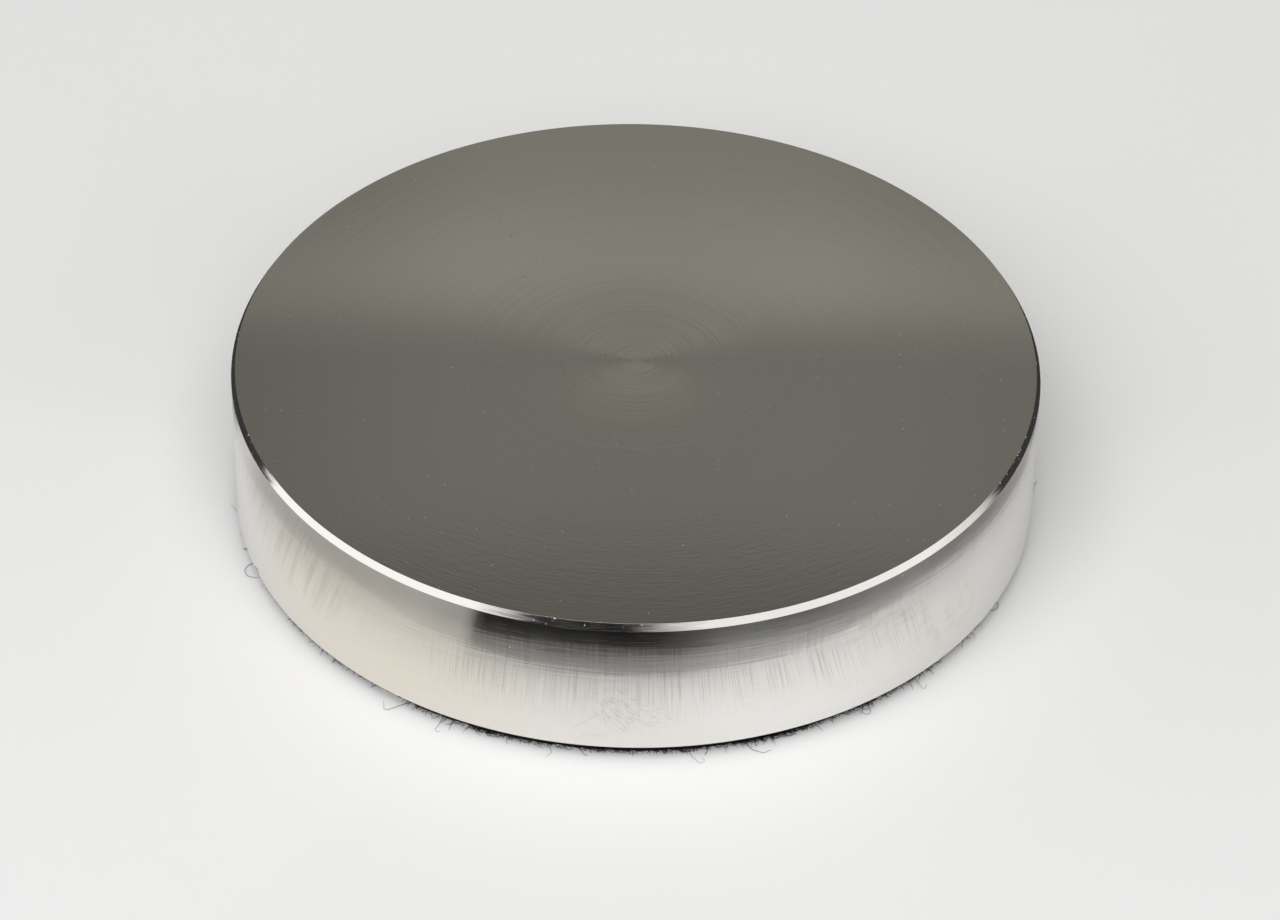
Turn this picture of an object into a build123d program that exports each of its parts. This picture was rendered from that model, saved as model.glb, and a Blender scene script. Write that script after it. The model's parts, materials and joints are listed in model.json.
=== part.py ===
from build123d import *

import math
import os

# A record weight: a turned steel puck with a felt pad glued under it.
# Millimetres, +Z up. The Z axis is the axis of the turning, and the pad's
# underside is at Z = 0.

# Steel body
body_diameter = 78.0
body_height = 15.0
top_chamfer_width = 0.4
top_chamfer_height = 0.65
lower_edge_break = 0.1

# Blind bore for the turntable spindle, drilled from below
spindle_diameter = 7.2
spindle_clearance = 0.2
bore_lead_in = 0.5
bore_roof = 2.5
drill_point_angle = 118.0

# Felt pad
felt_thickness = 1.5
felt_inset = 1.2
felt_hole_margin = 0.8

# Sizes that both pieces share
body_radius = body_diameter / 2
bore_radius = (spindle_diameter + spindle_clearance) / 2
bore_mouth_radius = bore_radius + bore_lead_in


def make_weight_body():
    """Revolves the half section of the puck, with its blind bore, round the Z axis."""
    underside = felt_thickness
    top = underside + body_height
    drill_tip = top - bore_roof
    point_height = bore_radius / math.tan(math.radians(drill_point_angle / 2))
    half_section = Polyline(
        (0, drill_tip),
        (bore_radius, drill_tip - point_height),
        (bore_radius, underside + bore_lead_in),
        (bore_mouth_radius, underside),
        (body_radius - lower_edge_break, underside),
        (body_radius, underside + lower_edge_break),
        (body_radius, top - top_chamfer_height),
        (body_radius - top_chamfer_width, top),
        (0, top),
        close=True,
    )
    return revolve(Plane.XZ * make_face(half_section), Axis.Z)


def make_felt_pad():
    """Cuts the pad as a ring that keeps clear of the puck's rim and of the bore's mouth."""
    ring = Circle(body_radius - felt_inset) - Circle(bore_mouth_radius + felt_hole_margin)
    return extrude(ring, amount=felt_thickness)


os.makedirs("parts", exist_ok=True)
export_step(make_weight_body(), "parts/weight_body.step")
export_step(make_felt_pad(), "parts/felt_pad.step")
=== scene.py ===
import json
import math
import random

import bpy
from mathutils import Matrix, Vector, noise


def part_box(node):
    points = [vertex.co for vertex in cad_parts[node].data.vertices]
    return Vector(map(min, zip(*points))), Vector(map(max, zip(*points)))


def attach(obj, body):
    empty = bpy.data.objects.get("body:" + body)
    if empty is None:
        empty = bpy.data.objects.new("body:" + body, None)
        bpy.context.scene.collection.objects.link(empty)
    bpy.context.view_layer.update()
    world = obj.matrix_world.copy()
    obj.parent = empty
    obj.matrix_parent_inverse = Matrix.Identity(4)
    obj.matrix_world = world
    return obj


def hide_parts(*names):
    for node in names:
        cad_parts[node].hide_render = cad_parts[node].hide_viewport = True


# A record weight: a turned steel puck on a felt pad, on a pale floor. Metres, +Z up.
# Azimuths are in degrees round the Z axis, from -Y, the camera's side, towards +X.
# In the materials places and sizes are in millimetres. There a range of four numbers goes from one
# input to another and gives the values at both, and a range of two gives 0 and 1.

MM = 0.001

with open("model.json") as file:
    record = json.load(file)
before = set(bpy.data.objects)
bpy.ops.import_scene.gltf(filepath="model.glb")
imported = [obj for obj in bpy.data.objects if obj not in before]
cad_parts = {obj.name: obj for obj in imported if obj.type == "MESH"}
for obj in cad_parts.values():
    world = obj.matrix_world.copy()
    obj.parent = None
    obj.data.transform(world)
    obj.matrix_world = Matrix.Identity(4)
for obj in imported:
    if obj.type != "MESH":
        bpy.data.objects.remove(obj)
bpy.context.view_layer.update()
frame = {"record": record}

# Sizes from the frame
body_low, body_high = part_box("weight_body")
felt_low, felt_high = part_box("felt_pad")
BODY_RADIUS = (body_high.x - body_low.x) / 2
UNDERSIDE = body_low.z
TOP = body_high.z
FELT_RADIUS = (felt_high.x - felt_low.x) / 2
FELT_THICKNESS = felt_high.z - felt_low.z
spindle_bore = next(m for m in frame["record"]["mounts"] if m["name"] == "spindle_bore")
BORE_RADIUS = spindle_bore["dims"]["r_mm"] * MM
BORE_WALL_START = spindle_bore["pos_m"][2]
BORE_WALL_END = BORE_WALL_START + spindle_bore["dims"]["length_mm"] * MM

# Edges of the puck and the hole of the pad, as the solids have them
CHAMFER_WIDTH = 0.4 * MM
CHAMFER_HEIGHT = 0.65 * MM
LOWER_EDGE_BREAK = 0.1 * MM
BORE_LEAD_IN = BORE_WALL_START - UNDERSIDE
DRILL_POINT_ANGLE = math.radians(118)
FELT_HOLE_CLEARANCE = 0.8 * MM
FELT_HOLE_RADIUS = BORE_RADIUS + BORE_LEAD_IN + FELT_HOLE_CLEARANCE

MM_PER_DEGREE = math.radians(1) * BODY_RADIUS / MM
HALF_TURN = 180.0
FULL_TURN = 360.0

# Fineness of the meshes
EDGE_ROUNDING = 0.03 * MM
EDGE_STEPS = 4
TURN_STEPS = 360
FELT_TURN_STEPS = 1080
ON_AXIS = 1e-9

# Camera, fitted to the photograph
CAMERA_LENS_MM = 157.77
CAMERA_SENSOR_MM = 36.0
CAMERA_AIM = Vector((0.00054, 0.0049, 0.0))
CAMERA_DISTANCE = 0.55512
CAMERA_ELEVATION = math.radians(39.497)
CAMERA_ROLL = math.radians(-1.011)
CAMERA_CLIP = (0.01, 20.0)

# Colours
STEEL = (0.77, 0.75, 0.725, 1.0)
STEEL_DULL = (0.52, 0.50, 0.465, 1.0)
STEEL_BRIGHT = (0.95, 0.935, 0.90, 1.0)
STEEL_WARM = (0.77, 0.727, 0.65, 1.0)
STEEL_PALE = (0.845, 0.835, 0.81, 1.0)
# The smear's colour, which also paints shade on the upper left of the wall
STEEL_SMEARED_AND_SHADED = (0.55, 0.50, 0.42, 1.0)
# Pale dust, which on the chamfer's top edge also paints glints
DUST_AND_GLINTS = (0.75, 0.74, 0.72, 1.0)
TARNISH = (0.42, 0.34, 0.22, 1.0)
FELT_BLACK = (0.005, 0.005, 0.006, 1.0)
FELT_GREY = (0.024, 0.024, 0.025, 1.0)
FLOOR_PALE = (0.88, 0.884, 0.89, 1.0)

# Masks: the smallest speck as a share of the largest, the share of an ellipse that is full, and how
# far from its middle a line is full, as a share of its length
SMALLEST_SPECK = 0.4
ELLIPSE_CORE = 0.2
LINE_CORE = 0.2

NOISE_MIDDLE = 0.5
# Gloss spreads across the tangent after a quarter of a turn
ACROSS_TANGENT = 0.25


class Nodes:
    """Adds shader nodes to a tree. An input is a value or another node's output socket."""

    def __init__(self, tree):
        self.tree = tree
        tree.nodes.clear()

    def wire(self, socket, value):
        if isinstance(value, bpy.types.NodeSocket):
            self.tree.links.new(value, socket)
        else:
            socket.default_value = value

    def add(self, kind, inputs=None, **settings):
        node = self.tree.nodes.new(kind)
        for name, value in settings.items():
            setattr(node, name, value)
        for name, value in (inputs or {}).items():
            self.wire(node.inputs[name], value)
        return node

    def surface(self, shader):
        """Ends a material in a shader node."""
        self.add("ShaderNodeOutputMaterial", {"Surface": shader.outputs[0]})

    def math(self, operation, a, b=0.0):
        return self.add("ShaderNodeMath", {0: a, 1: b}, operation=operation).outputs[0]

    def product(self, first, *others):
        for other in others:
            first = self.math("MULTIPLY", first, other)
        return first

    def gap(self, a, b):
        """How far apart two values are."""
        return self.math("ABSOLUTE", self.math("SUBTRACT", a, b))

    def scaled(self, vector, factor):
        node = self.add("ShaderNodeVectorMath", {0: vector, "Scale": factor}, operation="SCALE")
        return node.outputs["Vector"]

    def combine(self, x, y, z=0.0):
        return self.add("ShaderNodeCombineXYZ", {"X": x, "Y": y, "Z": z}).outputs["Vector"]

    def separate(self, vector):
        return self.add("ShaderNodeSeparateXYZ", {"Vector": vector}).outputs

    def remap(self, value, low, high, to_low=0.0, to_high=1.0):
        inputs = {"Value": value, "From Min": low, "From Max": high, "To Min": to_low, "To Max": to_high}
        return self.add("ShaderNodeMapRange", inputs, interpolation_type="SMOOTHSTEP").outputs["Result"]

    def noise(self, vector, scale=1.0, detail=2.0, roughness=0.5):
        inputs = {"Vector": vector, "Scale": scale, "Detail": detail, "Roughness": roughness}
        return self.add("ShaderNodeTexNoise", inputs).outputs["Fac"]

    def mix_colour(self, factor, a, b):
        node = self.add("ShaderNodeMix", data_type="RGBA")
        factor_socket, a_socket, b_socket = node.inputs[0], node.inputs[6], node.inputs[7]
        self.wire(factor_socket, factor)
        self.wire(a_socket, a)
        self.wire(b_socket, b)
        return node.outputs[2]

    def bump(self, height, distance, normal=None):
        inputs = {"Height": height, "Distance": distance, "Strength": 1.0}
        if normal is not None:
            inputs["Normal"] = normal
        return self.add("ShaderNodeBump", inputs).outputs["Normal"]

    def ramp(self, value, stops):
        """A colour ramp of (position, grey level or colour) stops."""
        node = self.add("ShaderNodeValToRGB", {"Fac": value})
        elements = node.color_ramp.elements
        while len(elements) < len(stops):
            elements.new(0.5)
        for element, (position, level) in zip(elements, stops):
            element.position = position
            element.color = level if isinstance(level, tuple) else (level, level, level, 1.0)
        return node.outputs["Color"]

    def specks(self, flat, spacing, share, radius):
        """A mask of round specks strewn over a flat millimetre place, one cell in a few holding one."""
        inputs = {"Vector": flat, "Scale": 1 / spacing}
        cells = self.add("ShaderNodeTexVoronoi", inputs, voronoi_dimensions="2D")
        chance = self.add("ShaderNodeSeparateColor", {"Color": cells.outputs["Color"]})
        chosen = self.math("GREATER_THAN", chance.outputs[0], 1 - share)
        smallest, largest = SMALLEST_SPECK * radius / spacing, radius / spacing
        size = self.remap(chance.outputs[1], 0.0, 1.0, smallest, largest)
        inside = self.math("LESS_THAN", cells.outputs["Distance"], size)
        return self.product(chosen, inside)


def new_material(name):
    material = bpy.data.materials.new(name)
    material.use_nodes = True
    return material, Nodes(material.node_tree)


class TurnedSurface:
    """Millimetre coordinates of a turned surface: its place, radius, and unit direction from the axis."""

    def __init__(self, n):
        self.n = n
        self.mm = n.scaled(n.add("ShaderNodeTexCoord").outputs["Object"], 1 / MM)
        self.x, self.y, self.z = n.separate(self.mm)
        flat = n.combine(self.x, self.y)
        self.radius = n.add("ShaderNodeVectorMath", {0: flat}, operation="LENGTH").outputs["Value"]
        out = n.add("ShaderNodeVectorMath", {0: flat}, operation="NORMALIZE").outputs["Vector"]
        self.out_x, self.out_y, _ = n.separate(out)

    def stretched(self, around, across, distance):
        """A place for noise that has its own fineness round the axis and along a distance."""
        x = self.n.math("MULTIPLY", self.out_x, around)
        y = self.n.math("MULTIPLY", self.out_y, around)
        return self.n.combine(x, y, self.n.math("MULTIPLY", distance, across))

    def azimuth(self):
        angle = self.n.math("ARCTAN2", self.out_x, self.n.math("MULTIPLY", self.out_y, -1.0))
        return self.n.math("DEGREES", angle)

    def cosine(self, share):
        """The cosine of a share of the azimuth."""
        angle = self.n.math("RADIANS", self.n.math("MULTIPLY", self.azimuth(), share))
        return self.n.math("COSINE", angle)

    def by_azimuth(self, stops):
        """A ramp of (azimuth, grey level) stops."""
        turn = self.n.math("DIVIDE", self.n.math("ADD", self.azimuth(), HALF_TURN), FULL_TURN)
        return self.n.ramp(turn, [((azimuth + HALF_TURN) / FULL_TURN, level) for azimuth, level in stops])

    def round_wall(self):
        """The wall rolled out flat: millimetres along the wall, and height."""
        along = self.n.math("MULTIPLY", self.azimuth(), MM_PER_DEGREE)
        return along, self.z

    def streaks(self, around, across, slope):
        """Small slopes, both ways from zero, that change along the height and round the axis."""
        value = self.n.noise(self.stretched(around, across, self.z))
        return self.n.math("MULTIPLY", self.n.math("SUBTRACT", value, NOISE_MIDDLE), slope)

    def leaned_normal(self, rise=0.0, turn=0.0, outward=0.0):
        """The surface normal leaned by small slopes: up, round the axis, and away from the axis."""
        n = self.n
        normal = n.add("ShaderNodeNewGeometry").outputs["Normal"]
        x = n.math("SUBTRACT", n.product(self.out_x, outward), n.product(self.out_y, turn))
        y = n.math("ADD", n.product(self.out_y, outward), n.product(self.out_x, turn))
        lean = n.combine(x, y, rise)
        leaned = n.add("ShaderNodeVectorMath", {0: normal, 1: lean}, operation="ADD").outputs["Vector"]
        return n.add("ShaderNodeVectorMath", {0: leaned}, operation="NORMALIZE").outputs["Vector"]


def ellipse(n, u, v, centre, half_size):
    """A soft mask, 1 at the centre of an ellipse and 0 outside it."""
    a = n.math("DIVIDE", n.math("SUBTRACT", u, centre[0]), half_size[0])
    b = n.math("DIVIDE", n.math("SUBTRACT", v, centre[1]), half_size[1])
    distance = n.math("SQRT", n.math("ADD", n.product(a, a), n.product(b, b)))
    return n.remap(distance, ELLIPSE_CORE, 1.0, 1.0, 0.0)


def wall_patch(n, along, height, patch):
    """A soft mask of a patch on the wall, given as azimuth, height, half width and half height."""
    azimuth, patch_height, half_width, half_height = patch
    return ellipse(n, along, height, (azimuth * MM_PER_DEGREE, patch_height), (half_width, half_height))


def strokes(n, u, v, slant, length, width, low, high):
    """A mask of short thin strokes that all lean by a slant in degrees."""
    c, s = math.cos(math.radians(slant)), math.sin(math.radians(slant))
    along = n.math("ADD", n.math("MULTIPLY", u, c), n.math("MULTIPLY", v, s))
    across = n.math("SUBTRACT", n.math("MULTIPLY", v, c), n.math("MULTIPLY", u, s))
    place = n.combine(n.math("DIVIDE", along, length), n.math("DIVIDE", across, width))
    return n.remap(n.noise(place, detail=1.0), low, high)


def line_mask(n, u, v, start, end, width):
    """A mask of one straight thin line that fades towards its ends."""
    length = math.hypot(end[0] - start[0], end[1] - start[1])
    c, s = (end[0] - start[0]) / length, (end[1] - start[1]) / length
    du, dv = n.math("SUBTRACT", u, start[0]), n.math("SUBTRACT", v, start[1])
    along = n.math("ADD", n.math("MULTIPLY", du, c), n.math("MULTIPLY", dv, s))
    across = n.math("SUBTRACT", n.math("MULTIPLY", dv, c), n.math("MULTIPLY", du, s))
    near = n.remap(n.math("ABSOLUTE", across), 0.0, width, 1.0, 0.0)
    off_middle = n.gap(along, length / 2)
    return n.product(near, n.remap(off_middle, LINE_CORE * length, length / 2, 1.0, 0.0))


def turned_shader(n, colour, roughness, normal, anisotropic, metallic=1.0):
    """Metal whose fine tool marks run round the axis, so that its gloss spreads across them."""
    tangent = n.add("ShaderNodeTangent", direction_type="RADIAL", axis="Z").outputs["Tangent"]
    inputs = {
        "Base Color": colour,
        "Metallic": metallic,
        "Roughness": roughness,
        "Normal": normal,
        "Anisotropic": anisotropic,
        "Anisotropic Rotation": ACROSS_TANGENT,
        "Tangent": tangent,
    }
    n.surface(n.add("ShaderNodeBsdfPrincipled", inputs))


# Tool marks on the top face. A fineness is round the axis, and then per millimetre away from it.
RING_FINENESS = (0.3, 160.0)
RING_LEAN = (0.32, 0.68, -1.0, 1.0)
RING_SLOPE_BY_RADIUS = (4.0, 15.0, 0.0125, 0.003)
DASH_FINENESS = (28.0, 4.0)
DASH_BY_AZIMUTH = (25.0, 65.0, 1.0, 0.3)
DASH_BY_RADIUS = (15.0, 28.0, 0.1, 1.0)
DASH_DEPTH = 1e-6
LINE_FINENESS = (0.3, 9.0)
LINE_DARK = (0.4, 0.7)
LINE_TONE_BY_RADIUS = (8.0, 20.0, 0.08, 0.04)
WIDE_LINE_FINENESS = (0.3, 5.0)
WIDE_LINE_DARK = (0.5, 0.72)
WIDE_LINE_START = (6.0, 12.0, 0.0, 0.09)
WIDE_LINE_FADE = (15.0, 25.0, 1.0, 0.2)
TOP_ROUGHNESS = 0.035
TOP_ANISOTROPY = 1.0
# Other marks on the top: a round scratch, spots of (x, y, radius), and dust of a spacing, share and radius
SCRATCH_RADIUS = 13.4
SCRATCH_WIDTH = 0.09
SCRATCH_AZIMUTHS = (-58.0, 74.0)
SCRATCH_FADE = 20.0
SCRATCH_STRENGTH = 0.5
DARK_SPOTS = [(-12.6, 19.6, 0.35), (-11.2, 12.8, 0.3), (3.6, -10.1, 0.28), (-13.7, 21.8, 0.25)]
DARK_SPOT_STRENGTH = 0.3
TOP_DUST = (1.6, 0.12, 0.055)
TOP_DUST_METALLIC = 0.6


def top_scratch(s):
    """A mask of one thin scratch round part of the top."""
    n = s.n
    off_line = n.gap(s.radius, SCRATCH_RADIUS)
    middle = sum(SCRATCH_AZIMUTHS) / 2
    end = SCRATCH_AZIMUTHS[1] - middle
    ends = n.remap(n.gap(s.azimuth(), middle), end - SCRATCH_FADE, end, 1.0, 0.0)
    return n.product(n.remap(off_line, 0.0, SCRATCH_WIDTH, 1.0, 0.0), ends)


def top_material():
    """Fine faced steel: rings of tool marks, nearly a mirror along them, with a scratch and specks."""
    material, n = new_material("steel_faced_top")
    s = TurnedSurface(n)
    rings = n.noise(s.stretched(*RING_FINENESS, s.radius), detail=0.0)
    slope = n.product(n.remap(rings, *RING_LEAN), n.remap(s.radius, *RING_SLOPE_BY_RADIUS))
    dashes = n.noise(s.stretched(*DASH_FINENESS, s.radius), detail=0.0)
    front = n.remap(n.math("ABSOLUTE", s.azimuth()), *DASH_BY_AZIMUTH)
    depth = n.product(n.remap(s.radius, *DASH_BY_RADIUS), front)
    normal = n.bump(n.product(dashes, depth), DASH_DEPTH, s.leaned_normal(outward=slope))

    lines = n.noise(s.stretched(*LINE_FINENESS, s.radius), detail=2.0)
    tone = n.product(n.remap(lines, *LINE_DARK), n.remap(s.radius, *LINE_TONE_BY_RADIUS))
    wide_lines = n.noise(s.stretched(*WIDE_LINE_FINENESS, s.radius), detail=2.0)
    start, fade = n.remap(s.radius, *WIDE_LINE_START), n.remap(s.radius, *WIDE_LINE_FADE)
    tone = n.math("ADD", tone, n.product(n.remap(wide_lines, *WIDE_LINE_DARK), start, fade))
    colour = n.mix_colour(tone, STEEL, STEEL_DULL)
    for x, y, radius in DARK_SPOTS:
        spot = ellipse(n, s.x, s.y, (x, y), (radius, radius))
        colour = n.mix_colour(n.math("MULTIPLY", spot, DARK_SPOT_STRENGTH), colour, STEEL_DULL)
    colour = n.mix_colour(n.math("MULTIPLY", top_scratch(s), SCRATCH_STRENGTH), colour, STEEL_BRIGHT)
    pale_specks = n.specks(n.combine(s.x, s.y), *TOP_DUST)

    metallic = n.remap(pale_specks, 0.0, 1.0, 1.0, TOP_DUST_METALLIC)
    turned_shader(n, colour, TOP_ROUGHNESS, normal, TOP_ANISOTROPY, metallic)
    return material


# Tool marks on the side wall. A fineness is round the axis, and then per millimetre of height. The
# streaks have one too, and then a slope.
WALL_STREAKS = [(5.0, 4.5, 0.036), (9.0, 10.0, 0.03), (1.2, 0.9, 0.012), (260.0, 0.12, 0.02)]
CLOUD_FINENESS = (9.0, 0.12)
DULL_LINE_FINENESS = (8.0, 6.0)
DULL_LINE_METALLIC = (0.58, 0.72, 1.0, 0.95)
WALL_ROUGHNESS = (0.25, 0.75, 0.05, 0.08)
WALL_ANISOTROPY = 0.9
# Patches of the wall: azimuth, height, half width, half height, and for some a slant in degrees
WARM_ZONE = (-40.0, 7.0, 26.0, 16.0)
PALE_ZONE = (24.0, 8.0, 20.0, 12.0)
# A smear high on the left of the wall, partly real and partly painted shade
SMEAR_AND_SHADE = (-56.0, 10.5, 15.0, 7.0, 68.0)
SMEAR_AND_SHADE_STRENGTH = 0.6
HANDLING_MARKS = [(-1.5, 6.8, 3.6, 4.4, -48.0), (-2.0, 5.0, 3.0, 3.4, -56.0), (3.0, 5.2, 3.4, 2.6, -30.0)]
HANDLING_STRENGTH = 0.85
STAINS = [(50.0, 6.5, 7.0, 4.0), (36.0, 11.0, 8.0, 4.0), (-5.0, 2.7, 1.4, 0.9)]
STAIN_SCALE = 0.6
STAIN_RANGE = (0.45, 0.7)
STAIN_STRENGTH = 0.3
# Strokes in such patches: length, width, and the noise at which they start and are full
SMEAR_AND_SHADE_STROKES = (10.0, 0.45, 0.38, 0.7)
HANDLING_STROKES = (1.5, 0.065, 0.625, 0.68)
# Fine upright scratches in a belt round the front, which lean more towards the right
HATCH_WIDTH = 0.08
HATCH_LENGTH = 6.0
HATCH_LEAN_BY_AZIMUTH = (-20.0, 45.0, -0.1, 0.35)
HATCH_DARK = (0.5, 0.75)
HATCH_CLOUDS = (0.2, 0.55)
HATCH_BOTTOM = (3.5, 7.0)
HATCH_TOP = (11.0, 13.5, 1.0, 0.0)
HATCH_LEFT = (-34.0, -22.0)
HATCH_RIGHT = (40.0, 58.0, 1.0, 0.0)
HATCH_STRENGTH = 0.65
# A long faint scratch, from one (azimuth, height) to another
LONG_SCRATCH = ((-8.6, 3.1), (-3.0, 6.3))
LONG_SCRATCH_WIDTH = 0.07
LONG_SCRATCH_STRENGTH = 0.35
# Dust of a spacing, share and radius
WALL_DUST = (1.6, 0.05, 0.07)
# Strength and metallic of the dust, which on the chamfer's top edge also paint glints
DUST_AND_GLINT_STRENGTH = 0.8
DUST_AND_GLINT_METALLIC = 0.2


def hatching(s, along, height, clouds):
    """A mask of the fine upright scratches."""
    n = s.n
    lean = n.remap(s.azimuth(), *HATCH_LEAN_BY_AZIMUTH)
    leaning = n.math("ADD", along, n.product(height, lean))
    place = n.combine(n.math("DIVIDE", leaning, HATCH_WIDTH), n.math("DIVIDE", height, HATCH_LENGTH))
    lines = n.remap(n.noise(place, detail=0.0), *HATCH_DARK)
    belt = n.product(n.remap(height, *HATCH_BOTTOM), n.remap(height, *HATCH_TOP))
    left, right = n.remap(s.azimuth(), *HATCH_LEFT), n.remap(s.azimuth(), *HATCH_RIGHT)
    return n.product(lines, n.remap(clouds, *HATCH_CLOUDS), belt, left, right)


def wall_material():
    """Fine turned side wall: lines round it, faint upright scratches, and stained handling marks."""
    material, n = new_material("steel_turned_wall")
    s = TurnedSurface(n)
    along, height = s.round_wall()
    clouds = n.noise(s.stretched(*CLOUD_FINENESS, s.z), detail=3.0)
    rise = 0.0
    for streak in WALL_STREAKS:
        rise = n.math("ADD", rise, s.streaks(*streak))
    normal = s.leaned_normal(rise)

    colour = STEEL
    for zone, tint in ((WARM_ZONE, STEEL_WARM), (PALE_ZONE, STEEL_PALE)):
        colour = n.mix_colour(wall_patch(n, along, height, zone), colour, tint)
    hatch = hatching(s, along, height, clouds)
    colour = n.mix_colour(n.math("MULTIPLY", hatch, HATCH_STRENGTH), colour, STEEL_DULL)
    # A real smear on the upper left of the wall, made darker than it is to paint shade there
    *patch, slant = SMEAR_AND_SHADE
    marks = strokes(n, along, height, slant, *SMEAR_AND_SHADE_STROKES)
    smear_and_shade = n.product(wall_patch(n, along, height, patch), marks, SMEAR_AND_SHADE_STRENGTH)
    colour = n.mix_colour(smear_and_shade, colour, STEEL_SMEARED_AND_SHADED)
    for *patch, slant in HANDLING_MARKS:
        marks = strokes(n, along, height, slant, *HANDLING_STROKES)
        handled = n.product(wall_patch(n, along, height, patch), marks, HANDLING_STRENGTH)
        colour = n.mix_colour(handled, colour, TARNISH)
    ends = [(azimuth * MM_PER_DEGREE, end_height) for azimuth, end_height in LONG_SCRATCH]
    scratch = line_mask(n, along, height, *ends, LONG_SCRATCH_WIDTH)
    colour = n.mix_colour(n.math("MULTIPLY", scratch, LONG_SCRATCH_STRENGTH), colour, TARNISH)
    blotches = n.remap(n.noise(s.mm, scale=STAIN_SCALE, detail=4.0), *STAIN_RANGE)
    for patch in STAINS:
        stain = n.product(wall_patch(n, along, height, patch), blotches, STAIN_STRENGTH)
        colour = n.mix_colour(stain, colour, TARNISH)
    pale_specks = n.specks(n.combine(along, height), *WALL_DUST)
    colour = n.mix_colour(n.math("MULTIPLY", pale_specks, DUST_AND_GLINT_STRENGTH), colour, DUST_AND_GLINTS)

    roughness = n.remap(clouds, *WALL_ROUGHNESS)
    dull_lines = n.remap(n.noise(s.stretched(*DULL_LINE_FINENESS, s.z)), *DULL_LINE_METALLIC)
    metallic = n.product(n.remap(pale_specks, 0.0, 1.0, 1.0, DUST_AND_GLINT_METALLIC), dull_lines)
    turned_shader(n, colour, roughness, normal, WALL_ANISOTROPY, metallic)
    return material


# The chamfer: fineness and slopes of its chatter, dust of a spacing, share and radius, and a band of
# pale specks between two depths under the top, which paint glints along its top edge
CHATTER_FINENESS = (30.0, 14.0)
CHATTER_RISE = (20.0, 9.0, 0.015)
CHATTER_TURN = (14.0, 14.0, 0.12)
CHAMFER_DUST = (0.6, 0.15, 0.05)
EDGE_GLINT_SPECKS = (0.5, 0.25, 0.08)
EDGE_GLINT_DEPTHS = (0.2, 0.05)
CHAMFER_ROUGHNESS = (0.3, 0.7, 0.06, 0.09)
CHAMFER_ANISOTROPY = 0.5


def chamfer_material():
    """Bright cut chamfer with slight chatter marks, bits of dust, and painted glints: pale specks along
    its top edge.
    """
    material, n = new_material("steel_bright_chamfer")
    s = TurnedSurface(n)
    along, height = s.round_wall()
    chatter = n.noise(s.stretched(*CHATTER_FINENESS, s.z), detail=2.0)
    normal = s.leaned_normal(s.streaks(*CHATTER_RISE), s.streaks(*CHATTER_TURN))
    # Painted glints: a band of pale specks just under the top edge
    edge = n.remap(height, *(TOP / MM - depth for depth in EDGE_GLINT_DEPTHS))
    edge_glints = n.product(n.specks(n.combine(along, height), *EDGE_GLINT_SPECKS), edge)
    # The specks hold the dust and the painted glints of the top edge
    pale_specks = n.math("MAXIMUM", n.specks(n.combine(along, height), *CHAMFER_DUST), edge_glints)
    colour = n.mix_colour(n.math("MULTIPLY", pale_specks, DUST_AND_GLINT_STRENGTH), STEEL, DUST_AND_GLINTS)
    roughness = n.remap(chatter, *CHAMFER_ROUGHNESS)
    metallic = n.remap(pale_specks, 0.0, 1.0, 1.0, DUST_AND_GLINT_METALLIC)
    turned_shader(n, colour, roughness, normal, CHAMFER_ANISOTROPY, metallic)
    return material


UNDERSIDE_FINENESS = (1.0, 4.0)
UNDERSIDE_DEPTH = 1.5e-6
UNDERSIDE_DULL = (0.4, 0.7, 0.0, 0.3)
UNDERSIDE_ROUGHNESS = (0.2, 0.8, 0.2, 0.32)
UNDERSIDE_ANISOTROPY = 0.6


def underside_material():
    """Coarser faced underside and drilled bore."""
    material, n = new_material("steel_underside")
    s = TurnedSurface(n)
    rings = n.noise(s.stretched(*UNDERSIDE_FINENESS, s.radius), detail=2.0)
    steps = n.noise(s.stretched(*UNDERSIDE_FINENESS, s.z), detail=2.0)
    normal = n.bump(n.math("ADD", rings, steps), UNDERSIDE_DEPTH)
    colour = n.mix_colour(n.remap(rings, *UNDERSIDE_DULL), STEEL, STEEL_DULL)
    roughness = n.remap(rings, *UNDERSIDE_ROUGHNESS)
    turned_shader(n, colour, roughness, normal, UNDERSIDE_ANISOTROPY)
    return material


NAP_SCALE = 5.0
NAP_GREY = (0.3, 0.75)
NAP_DEPTH = 1.2e-4
MOTTLE_SCALE = 0.35
MOTTLE_GREY = (0.2, 0.8, 0.5, 1.0)
FELT_ROUGHNESS = (0.3, 0.7, 0.85, 1.0)
FELT_SPECULAR = 0.2
FELT_SHEEN = 0.04
FELT_SHEEN_ROUGHNESS = 0.5


def felt_material():
    """Black napped felt."""
    material, n = new_material("black_felt")
    mm = n.scaled(n.add("ShaderNodeTexCoord").outputs["Object"], 1 / MM)
    nap = n.noise(mm, scale=NAP_SCALE, detail=5.0, roughness=0.65)
    mottle = n.noise(mm, scale=MOTTLE_SCALE, detail=2.0)
    tone = n.product(n.remap(nap, *NAP_GREY), n.remap(mottle, *MOTTLE_GREY))
    inputs = {
        "Base Color": n.mix_colour(tone, FELT_BLACK, FELT_GREY),
        "Roughness": n.remap(nap, *FELT_ROUGHNESS),
        "Normal": n.bump(nap, NAP_DEPTH),
        "Specular IOR Level": FELT_SPECULAR,
        "Sheen Weight": FELT_SHEEN,
        "Sheen Roughness": FELT_SHEEN_ROUGHNESS,
    }
    n.surface(n.add("ShaderNodeBsdfPrincipled", inputs))
    return material


def link(name, mesh):
    piece = bpy.data.objects.new(name, mesh)
    bpy.context.scene.collection.objects.link(piece)
    return piece


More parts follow.
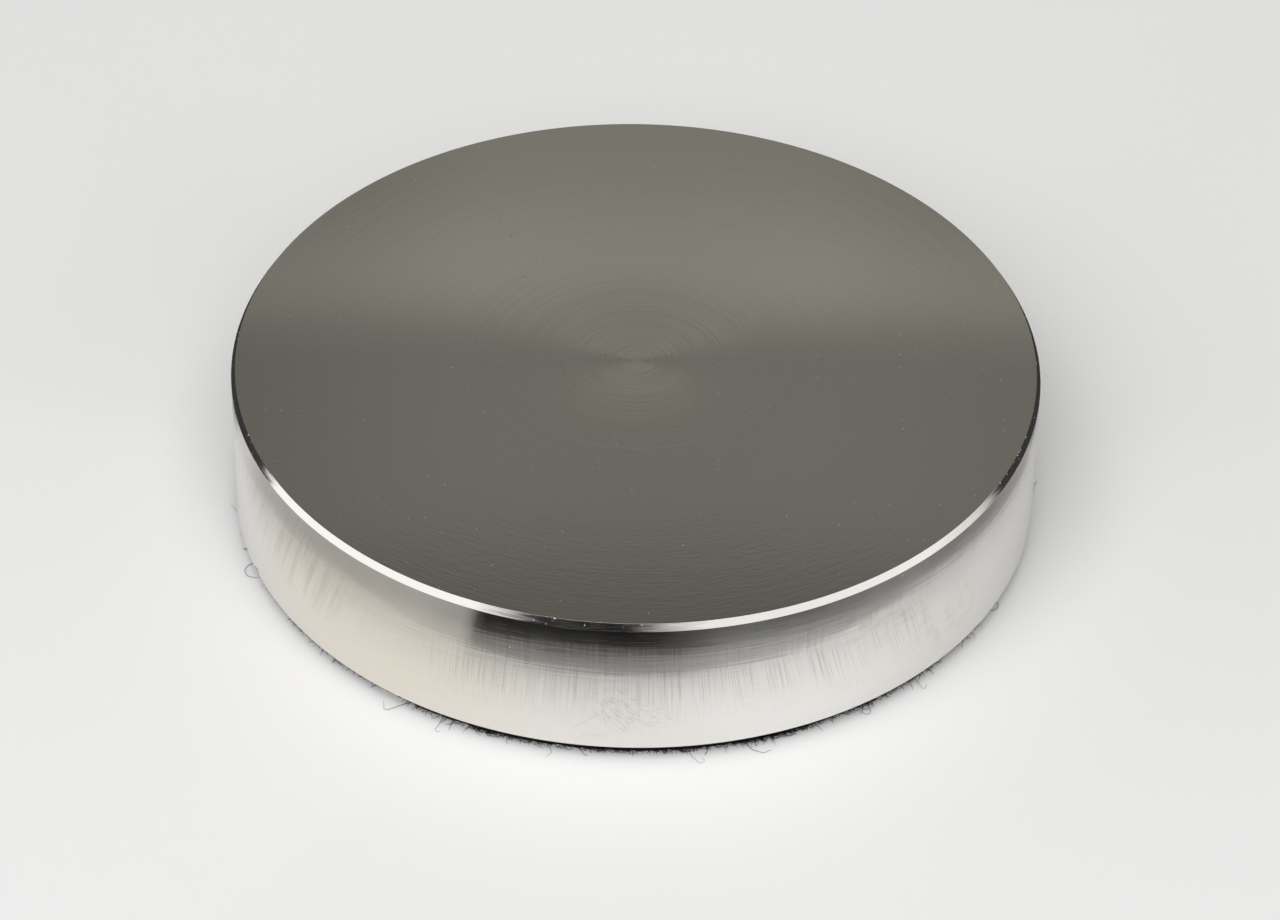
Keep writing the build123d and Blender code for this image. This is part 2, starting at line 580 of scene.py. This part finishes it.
def rounded_outline(corners):
    """Rounds an outline of (radius, height, rounding, zone) corners into rows of (radius, height,
    outward normal, zone), where the zone is that of the stretch that ends at the row."""
    rows = []
    last = len(corners) - 1
    for i, (r, z, rounding, zone) in enumerate(corners):
        here = Vector((r, z))
        before = (here - Vector(corners[i - 1][:2])).normalized() if i > 0 else None
        after = (Vector(corners[i + 1][:2]) - here).normalized() if i < last else None
        if before is None or after is None:
            along = before or after
            rows.append((r, z, Vector((along.y, -along.x)), zone))
            continue
        turn = before.angle_signed(after)
        offset = math.copysign(rounding, -turn)
        normals = [Vector((d.y, -d.x)) for d in (before, after)]
        start = here - before * rounding * abs(math.tan(turn / 2))
        middle = start - normals[0] * offset
        for step in range(EDGE_STEPS + 1):
            normal = normals[0].slerp(normals[1], step / EDGE_STEPS)
            place = middle + normal * offset
            rows.append((place.x, place.y, normal, zone))
    return rows


def lathe(name, rows, materials):
    """Turns outline rows round the Z axis into a mesh with exact normals and a material for each zone."""
    points, normals, faces, zones = [], [], [], []
    rings = []
    for r, z, normal, _ in rows:
        on_axis = r < ON_AXIS
        ring = []
        for step in range(1 if on_axis else TURN_STEPS):
            angle = 2 * math.pi * step / TURN_STEPS
            c, s = math.cos(angle), math.sin(angle)
            ring.append(len(points))
            points.append((r * c, r * s, z))
            upright = (0.0, 0.0, math.copysign(1.0, normal.y))
            normals.append(upright if on_axis else (normal.x * c, normal.x * s, normal.y))
        rings.append(ring)
    names = list(materials)
    for ring, after, row in zip(rings, rings[1:], rows[1:]):
        for step in range(TURN_STEPS):
            beside = (step + 1) % TURN_STEPS
            if len(ring) == 1:
                face = (ring[0], after[beside], after[step])
            elif len(after) == 1:
                face = (ring[step], ring[beside], after[0])
            else:
                face = (ring[step], ring[beside], after[beside], after[step])
            faces.append(face)
            zones.append(names.index(row[3]))
    mesh = bpy.data.meshes.new(name)
    mesh.from_pydata(points, [], faces)
    for material in materials.values():
        mesh.materials.append(material)
    for polygon, zone in zip(mesh.polygons, zones):
        polygon.material_index = zone
        polygon.use_smooth = True
    mesh.normals_split_custom_set_from_vertices(normals)
    return link(name, mesh)


def make_puck():
    """The steel puck, as one lathe form from the drill point round to the middle of the top."""
    drill_tip = BORE_WALL_END + BORE_RADIUS / math.tan(DRILL_POINT_ANGLE / 2)
    sharp, fine, soft = EDGE_ROUNDING / 3, EDGE_ROUNDING, 2 * EDGE_ROUNDING
    corners = [
        (0, drill_tip, 0, "underside"),
        (BORE_RADIUS, BORE_WALL_END, soft, "underside"),
        (BORE_RADIUS, BORE_WALL_START, soft, "underside"),
        (BORE_RADIUS + BORE_LEAD_IN, UNDERSIDE, soft, "underside"),
        (BODY_RADIUS - LOWER_EDGE_BREAK, UNDERSIDE, fine, "underside"),
        (BODY_RADIUS, UNDERSIDE + LOWER_EDGE_BREAK, fine, "underside"),
        (BODY_RADIUS, TOP - CHAMFER_HEIGHT, fine, "wall"),
        (BODY_RADIUS - CHAMFER_WIDTH, TOP, sharp, "chamfer"),
        (0, TOP, 0, "top"),
    ]
    materials = {
        "underside": underside_material(),
        "wall": wall_material(),
        "chamfer": chamfer_material(),
        "top": top_material(),
    }
    puck = lathe("steel_puck", rounded_outline(corners), materials)
    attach(puck, "root")
    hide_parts("weight_body")


# The felt's section, and how much its edges wander, the hole's as a share of the outer one's
GLUE_GAP = 0.01 * MM
FELT_SIDE_ROWS = 6
FELT_FLAT_ROWS = 8
FELT_UNEVEN = 0.3 * MM
FELT_HOLE_UNEVEN = 0.5
# How fast that changes round the axis, with height and with radius, then the noise's exponent, the
# step from one octave to the next, and the number of octaves
WANDER_AROUND = 60
WANDER_UP = 1500
WANDER_OUT = 100
WANDER_OCTAVES = (0.7, 2.0, 4)


def felt_outline():
    """The closed outline of the pad's section, as rows of (radius, height, unevenness)."""
    low, high = 0.0, FELT_THICKNESS - GLUE_GAP
    breadth = FELT_RADIUS - FELT_HOLE_RADIUS
    widths = [FELT_HOLE_RADIUS + breadth * i / FELT_FLAT_ROWS for i in range(FELT_FLAT_ROWS + 1)]
    heights = [low + (high - low) * i / FELT_SIDE_ROWS for i in range(FELT_SIDE_ROWS + 1)]
    under = [(r, low, 0.0) for r in widths[1:-1]]
    outer = [(FELT_RADIUS, z, 1.0) for z in heights]
    over = [(r, high, 0.0) for r in reversed(widths[1:-1])]
    inner = [(FELT_HOLE_RADIUS, z, FELT_HOLE_UNEVEN) for z in reversed(heights)]
    return under + outer + over + inner


def make_felt(material):
    """The felt ring, with a cut edge that wanders a little."""
    rows = felt_outline()
    points, faces = [], []
    for step in range(FELT_TURN_STEPS):
        angle = 2 * math.pi * step / FELT_TURN_STEPS
        c, s = math.cos(angle), math.sin(angle)
        for r, z, uneven in rows:
            place = Vector((c * WANDER_AROUND, s * WANDER_AROUND, z * WANDER_UP + r * WANDER_OUT))
            wander = noise.fractal(place, *WANDER_OCTAVES)
            r_here = r - FELT_UNEVEN * uneven * (1 + wander) / 2
            points.append((r_here * c, r_here * s, z))
    count = len(rows)
    for step in range(FELT_TURN_STEPS):
        here, beside = step * count, (step + 1) % FELT_TURN_STEPS * count
        for i in range(count):
            j = (i + 1) % count
            faces.append((here + i, beside + i, beside + j, here + j))
    mesh = bpy.data.meshes.new("felt_disc")
    mesh.from_pydata(points, [], faces)
    mesh.materials.append(material)
    felt = link("felt_disc", mesh)
    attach(felt, "root")
    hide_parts("felt_pad")
    return felt


# Loose fibres
FIBRE_SEED = 41
FIBRE_STEP = 0.2 * MM
FIBRE_FEWEST_STEPS = 3
FIBRE_SIDES = 3
FIBRE_RADII = (0.02 * MM, 0.042 * MM)
FIBRE_TAPER = 0.6
FIBRE_ROOT = 0.2 * MM
FIBRE_REACH = BODY_RADIUS + 0.7 * MM
# Count, shortest and longest of the short, middling and long fibres
FIBRE_KINDS = [(5600, 0.5 * MM, 0.95 * MM), (320, 1.0 * MM, 1.8 * MM), (44, 2.2 * MM, 4.6 * MM)]
# Heights as shares of the felt's thickness, and how much of the way from one to the other a step goes
FIBRE_START_HEIGHTS = (0.05, 0.5)
FIBRE_SETTLED_HEIGHTS = (0.035, 0.14)
FIBRE_SETTLING = 0.4
# Spread of the angles of a fibre, and the angle that turns it back at its reach
FIBRE_HEADING = math.radians(50)
FIBRE_CURL = math.radians(20)
FIBRE_WOBBLE = math.radians(14)
FIBRE_TURN_BACK = math.radians(40)
# Chance of a fibre, how much it varies round the edge, and the noise's fineness and level for that
FIBRE_CHANCE = 0.6
FIBRE_CHANCE_SPREAD = 0.9
FIBRE_PATCH_FINENESS = 9
FIBRE_PATCH_LEVEL = 0.3


def fibre_path(rng, azimuth, length):
    """Points of a fibre that leaves the felt's edge, settles towards the floor and curls as it goes."""
    out = Vector((math.sin(azimuth), -math.cos(azimuth), 0))
    side = Vector((math.cos(azimuth), math.sin(azimuth), 0))
    height = rng.uniform(*FIBRE_START_HEIGHTS) * FELT_THICKNESS
    settled = rng.uniform(*FIBRE_SETTLED_HEIGHTS) * FELT_THICKNESS
    heading = rng.gauss(0, FIBRE_HEADING)
    curl = rng.gauss(0, FIBRE_CURL)
    place = out * (FELT_RADIUS - FIBRE_ROOT)
    points = [place + Vector((0, 0, height))]
    for _ in range(max(FIBRE_FEWEST_STEPS, round(length / FIBRE_STEP))):
        heading += curl + rng.gauss(0, FIBRE_WOBBLE)
        if place.length > FIBRE_REACH:
            heading += FIBRE_TURN_BACK if heading > 0 else -FIBRE_TURN_BACK
        place = place + (out * math.cos(heading) + side * math.sin(heading)) * FIBRE_STEP
        height += (settled - height) * FIBRE_SETTLING
        points.append(place + Vector((0, 0, height)))
    return points


def add_tube(path, radius, points, faces):
    """Adds a thin tube along a path, tapering to its far end."""
    start = len(points)
    last = len(path) - 1
    for i, place in enumerate(path):
        ahead = (path[min(i + 1, last)] - path[max(i - 1, 0)]).normalized()
        side = ahead.cross(Vector((0, 0, 1))).normalized()
        over = side.cross(ahead)
        thickness = radius * (1.0 - FIBRE_TAPER * i / last)
        for k in range(FIBRE_SIDES):
            angle = 2 * math.pi * k / FIBRE_SIDES
            points.append(place + (side * math.cos(angle) + over * math.sin(angle)) * thickness)
    for i in range(last):
        for k in range(FIBRE_SIDES):
            a, b = start + i * FIBRE_SIDES, start + (i + 1) * FIBRE_SIDES
            m = (k + 1) % FIBRE_SIDES
            faces.append((a + k, a + m, b + m, b + k))
    faces.append(tuple(start + k for k in reversed(range(FIBRE_SIDES))))
    faces.append(tuple(start + last * FIBRE_SIDES + k for k in range(FIBRE_SIDES)))


def make_fibres(material):
    """Loose fibres round the felt's edge, thicker in some places than in others."""
    rng = random.Random(FIBRE_SEED)
    points, faces = [], []
    for count, shortest, longest in FIBRE_KINDS:
        made = 0
        while made < count:
            azimuth = rng.uniform(-math.pi, math.pi)
            ring = Vector((math.sin(azimuth), math.cos(azimuth), FIBRE_PATCH_LEVEL)) * FIBRE_PATCH_FINENESS
            if rng.random() > FIBRE_CHANCE + FIBRE_CHANCE_SPREAD * noise.noise(ring):
                continue
            path = fibre_path(rng, azimuth, rng.uniform(shortest, longest))
            add_tube(path, rng.uniform(*FIBRE_RADII), points, faces)
            made += 1
    mesh = bpy.data.meshes.new("felt_fibres")
    mesh.from_pydata(points, [], faces)
    mesh.materials.append(material)
    fibres = link("felt_fibres", mesh)
    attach(fibres, "root")
    return fibres


def make_pad():
    material = felt_material()
    felt = make_felt(material)
    fibres = make_fibres(material)


FLOOR_HALF_SIZE = 4.0
FLOOR_ROUGHNESS = 0.7


def make_floor():
    half = FLOOR_HALF_SIZE
    mesh = bpy.data.meshes.new("floor")
    corners = [(-half, -half, 0), (half, -half, 0), (half, half, 0), (-half, half, 0)]
    mesh.from_pydata(corners, [], [(0, 1, 2, 3)])
    material, n = new_material("pale_floor")
    n.surface(n.add("ShaderNodeBsdfPrincipled", {"Base Color": FLOOR_PALE, "Roughness": FLOOR_ROUGHNESS}))
    mesh.materials.append(material)
    link("floor", mesh)


def ring_band(name, rims):
    """A mesh of one band round the Z axis, between two rims of (radius, height)."""
    points, faces = [], []
    for step in range(TURN_STEPS):
        angle = 2 * math.pi * step / TURN_STEPS
        for r, z in rims:
            points.append((r * math.cos(angle), r * math.sin(angle), z))
    for step in range(TURN_STEPS):
        a, b = 2 * step, 2 * ((step + 1) % TURN_STEPS)
        faces.append((a, a + 1, b + 1, b))
    mesh = bpy.data.meshes.new(name)
    mesh.from_pydata(points, [], faces)
    return mesh


# A grey card that only mirror reflections see. It lies round the object, and is clear near it.
CARD_RADII = (39.5, 1250.0)
CARD_HEIGHT = 0.1 * MM
# How clear the card is, by the distance from the axis ahead of the object
CARD_CLEAR = [
    (44.0, 1.0),
    (46.0, 0.97),
    (48.3, 0.87),
    (50.2, 0.70),
    (51.4, 0.62),
    (52.4, 0.54),
    (53.6, 0.32),
    (54.6, 0.10),
    (55.3, 0.02),
    (56.5, 0.0),
]
# To the right it is clearer: azimuths, and the power that the share is raised to
CARD_CLEARER_SIDE = (4.0, 25.0, 1.0, 0.5)
# A darker part starts at an edge: its distances from the axis, and how clear each side is
CARD_EDGE = (50.3, 51.2, 1.0, 0.56)
# Behind the object it becomes clear from one of these azimuths to the other
CARD_OPEN_BACK = (134.0, 150.0)
# Towards the sides the clear part is narrower, like the cosine of a share of the azimuth
CARD_NARROWING = 0.7
CARD_NARROWEST = 0.42
# Tone of the card by azimuth
CARD_TONES = [
    (-180.0, 0.05),
    (-104.0, 0.05),
    (-98.0, 0.70),
    (-93.0, 0.72),
    (-84.0, 0.52),
    (-64.0, 0.45),
    (-40.0, 0.45),
    (-30.2, 0.37),
    (-27.8, 0.02),
    (4.0, 0.01),
    (15.0, 0.11),
    (35.0, 0.15),
    (55.0, 0.26),
    (66.0, 0.24),
    (78.0, 0.27),
    (90.0, 0.40),
    (97.0, 0.50),
    (104.0, 0.05),
    (180.0, 0.05),
]


def make_card():
    mesh = ring_band("grey_card", [(r * MM, CARD_HEIGHT) for r in CARD_RADII])
    material, n = new_material("grey_card")
    s = TurnedSurface(n)
    body = BODY_RADIUS / MM
    narrowing = n.math("MAXIMUM", s.cosine(CARD_NARROWING), CARD_NARROWEST)
    ahead = n.math("ADD", n.math("DIVIDE", n.math("SUBTRACT", s.radius, body), narrowing), body)
    inner, outer = CARD_CLEAR[0][0], CARD_CLEAR[-1][0]
    reach = n.math("DIVIDE", n.math("SUBTRACT", ahead, inner), outer - inner)
    clear = n.ramp(reach, [((r - inner) / (outer - inner), share) for r, share in CARD_CLEAR])
    clear = n.math("POWER", clear, n.remap(s.azimuth(), *CARD_CLEARER_SIDE))
    clear = n.product(clear, n.remap(s.radius, *CARD_EDGE))
    clear = n.math("MAXIMUM", clear, n.remap(n.math("ABSOLUTE", s.azimuth()), *CARD_OPEN_BACK))
    paint = n.add("ShaderNodeBsdfDiffuse", {"Color": s.by_azimuth(CARD_TONES)})
    glass = n.add("ShaderNodeBsdfTransparent")
    n.surface(n.add("ShaderNodeMixShader", {0: clear, 1: paint.outputs[0], 2: glass.outputs[0]}))
    mesh.materials.append(material)
    card = link("grey_card", mesh)
    card.visible_camera = False
    card.visible_diffuse = False
    card.visible_shadow = False


# A curved soft lamp round the object, with a dark gap behind the camera: azimuth and brightness
LIGHT_WALL_RADIUS = 1.25
LIGHT_WALL_HEIGHT = 0.75
LIGHT_WALL = [
    (-180.0, 0.25),
    (-125.0, 0.25),
    (-106.0, 1.24),
    (-40.0, 1.24),
    (-32.0, 0.66),
    (-28.0, 0.3),
    (-24.0, 0.02),
    (-2.0, 0.0),
    (2.0, 0.07),
    (4.0, 0.2),
    (6.0, 0.38),
    (12.0, 0.72),
    (19.0, 1.08),
    (80.0, 1.12),
    (95.0, 0.88),
    (101.0, 0.6),
    (105.0, 0.2),
    (125.0, 0.25),
    (180.0, 0.25),
]
# A ramp holds levels up to 1, so they are divided by this and the lamp's strength makes up for it
LIGHT_WALL_PEAK = 2.0
# Mirrors see it along a strip, and a warm grey above and below. The strip is highest in front, and
# falls off to the sides like the cosine of a share of the azimuth.
STRIP_HEIGHT = 508.0
STRIP_FALL = 0.84
STRIP_EDGE = (60.0, 110.0)
# The grey's brightness at a low and at a high place, and its tint, which the surroundings have too
STRIP_SURROUND = (150.0, 650.0, 0.5, 0.15)
SURROUNDINGS_TINT = (1.0, 0.973, 0.865)


def make_light_wall():
    rims = [(LIGHT_WALL_RADIUS, z) for z in (0.0, LIGHT_WALL_HEIGHT)]
    mesh = ring_band("light_wall", rims)
    material, n = new_material("light_wall")
    s = TurnedSurface(n)
    lamp = s.by_azimuth([(azimuth, level / LIGHT_WALL_PEAK) for azimuth, level in LIGHT_WALL])
    strip = n.math("MULTIPLY", s.cosine(STRIP_FALL), STRIP_HEIGHT)
    off_strip = n.remap(n.gap(s.z, strip), *STRIP_EDGE)
    mirrored = n.add("ShaderNodeLightPath").outputs["Is Glossy Ray"]
    grey_level = n.math("DIVIDE", n.remap(s.z, *STRIP_SURROUND), LIGHT_WALL_PEAK)
    grey = n.scaled(SURROUNDINGS_TINT, grey_level)
    brightness = n.mix_colour(n.product(mirrored, off_strip), lamp, grey)
    n.surface(n.add("ShaderNodeEmission", {"Color": brightness, "Strength": LIGHT_WALL_PEAK}))
    material.cycles.emission_sampling = "NONE"
    mesh.materials.append(material)
    wall = link("light_wall", mesh)
    wall.visible_camera = False


# A square soft lamp above the camera, a little to its left
KEY_PLACE = Vector((-0.14, -0.7, 1.0))
KEY_SIZE = 1.4
KEY_RADIANCE = 2.7


def make_key_lamp():
    data = bpy.data.lights.new("key_lamp", "AREA")
    data.size = KEY_SIZE
    data.energy = math.pi * KEY_SIZE**2 * KEY_RADIANCE
    lamp = bpy.data.objects.new("key_lamp", data)
    lamp.location = KEY_PLACE
    lamp.rotation_mode = "QUATERNION"
    lamp.rotation_quaternion = (-KEY_PLACE).to_track_quat("-Z", "Y")
    lamp.visible_camera = False
    bpy.context.scene.collection.objects.link(lamp)


# Brightness of the surroundings by elevation, in degrees above the floor
SURROUNDINGS = [
    (0.0, 0.25),
    (35.0, 0.25),
    (36.0, 0.235),
    (36.6, 0.222),
    (37.0, 0.285),
    (37.7, 0.35),
    (38.2, 0.193),
    (40.3, 0.195),
    (41.0, 0.112),
    (48.0, 0.12),
    (56.0, 0.3),
    (90.0, 0.3),
]
# Parts of a direction, which has a length of 1. To the left and to the right the surroundings dim.
SURROUNDINGS_LEFT = (-0.1, -0.02, 0.72, 1.0)
SURROUNDINGS_RIGHT = (0.03, 0.08, 1.0, 0.9)
# Under a height they also dim to both sides: how far aside, the share left there, and the height
SURROUNDINGS_LOW_ASIDE = (0.025, 0.06)
SURROUNDINGS_LOW_SHARE = 0.87
SURROUNDINGS_LOW_HEIGHT = (0.612, 0.62, 1.0, 0.0)
# Below the floor's level, which only the underside faces, they are pale
SURROUNDINGS_BELOW = (0.85, 0.85, 0.85, 1.0)
SURROUNDINGS_BELOW_EDGE = (-0.05, 0.0, 1.0, 0.0)


def make_world():
    world = bpy.data.worlds.new("studio")
    world.use_nodes = True
    n = Nodes(world.node_tree)
    direction = n.separate(n.add("ShaderNodeTexCoord").outputs["Generated"])
    sideways, height = direction["X"], direction["Z"]
    level = n.product(n.remap(sideways, *SURROUNDINGS_LEFT), n.remap(sideways, *SURROUNDINGS_RIGHT))
    aside = n.remap(n.math("ABSOLUTE", sideways), *SURROUNDINGS_LOW_ASIDE)
    low = n.remap(height, *SURROUNDINGS_LOW_HEIGHT)
    dimmed = n.product(aside, low, 1.0 - SURROUNDINGS_LOW_SHARE)
    level = n.product(level, n.math("SUBTRACT", 1.0, dimmed))
    stops = []
    for elevation, brightness in SURROUNDINGS:
        tinted = (*(brightness * tint for tint in SURROUNDINGS_TINT), 1.0)
        stops.append((math.sin(math.radians(elevation)), tinted))
    below = n.remap(height, *SURROUNDINGS_BELOW_EDGE)
    colour = n.mix_colour(below, n.ramp(height, stops), SURROUNDINGS_BELOW)
    background = n.add("ShaderNodeBackground", {"Color": colour, "Strength": level})
    n.add("ShaderNodeOutputWorld", {"Surface": background.outputs["Background"]})
    bpy.context.scene.world = world


def make_camera():
    e, roll = CAMERA_ELEVATION, CAMERA_ROLL
    right = Vector((1, 0, 0))
    up = Vector((0, math.sin(e), math.cos(e)))
    back = Vector((0, -math.cos(e), math.sin(e)))
    rolled_right = right * math.cos(roll) - up * math.sin(roll)
    rolled_up = right * math.sin(roll) + up * math.cos(roll)
    turn = Matrix((rolled_right, rolled_up, back)).transposed().to_4x4()
    data = bpy.data.cameras.new("camera")
    data.lens = CAMERA_LENS_MM
    data.sensor_width = CAMERA_SENSOR_MM
    data.clip_start, data.clip_end = CAMERA_CLIP
    camera = bpy.data.objects.new("camera", data)
    camera.matrix_world = Matrix.Translation(CAMERA_AIM + back * CAMERA_DISTANCE) @ turn
    bpy.context.scene.collection.objects.link(camera)
    bpy.context.scene.camera = camera


make_puck()
make_pad()
make_floor()
make_card()
make_light_wall()
make_key_lamp()
make_world()
make_camera()
bpy.context.scene.view_settings.view_transform = "Standard"
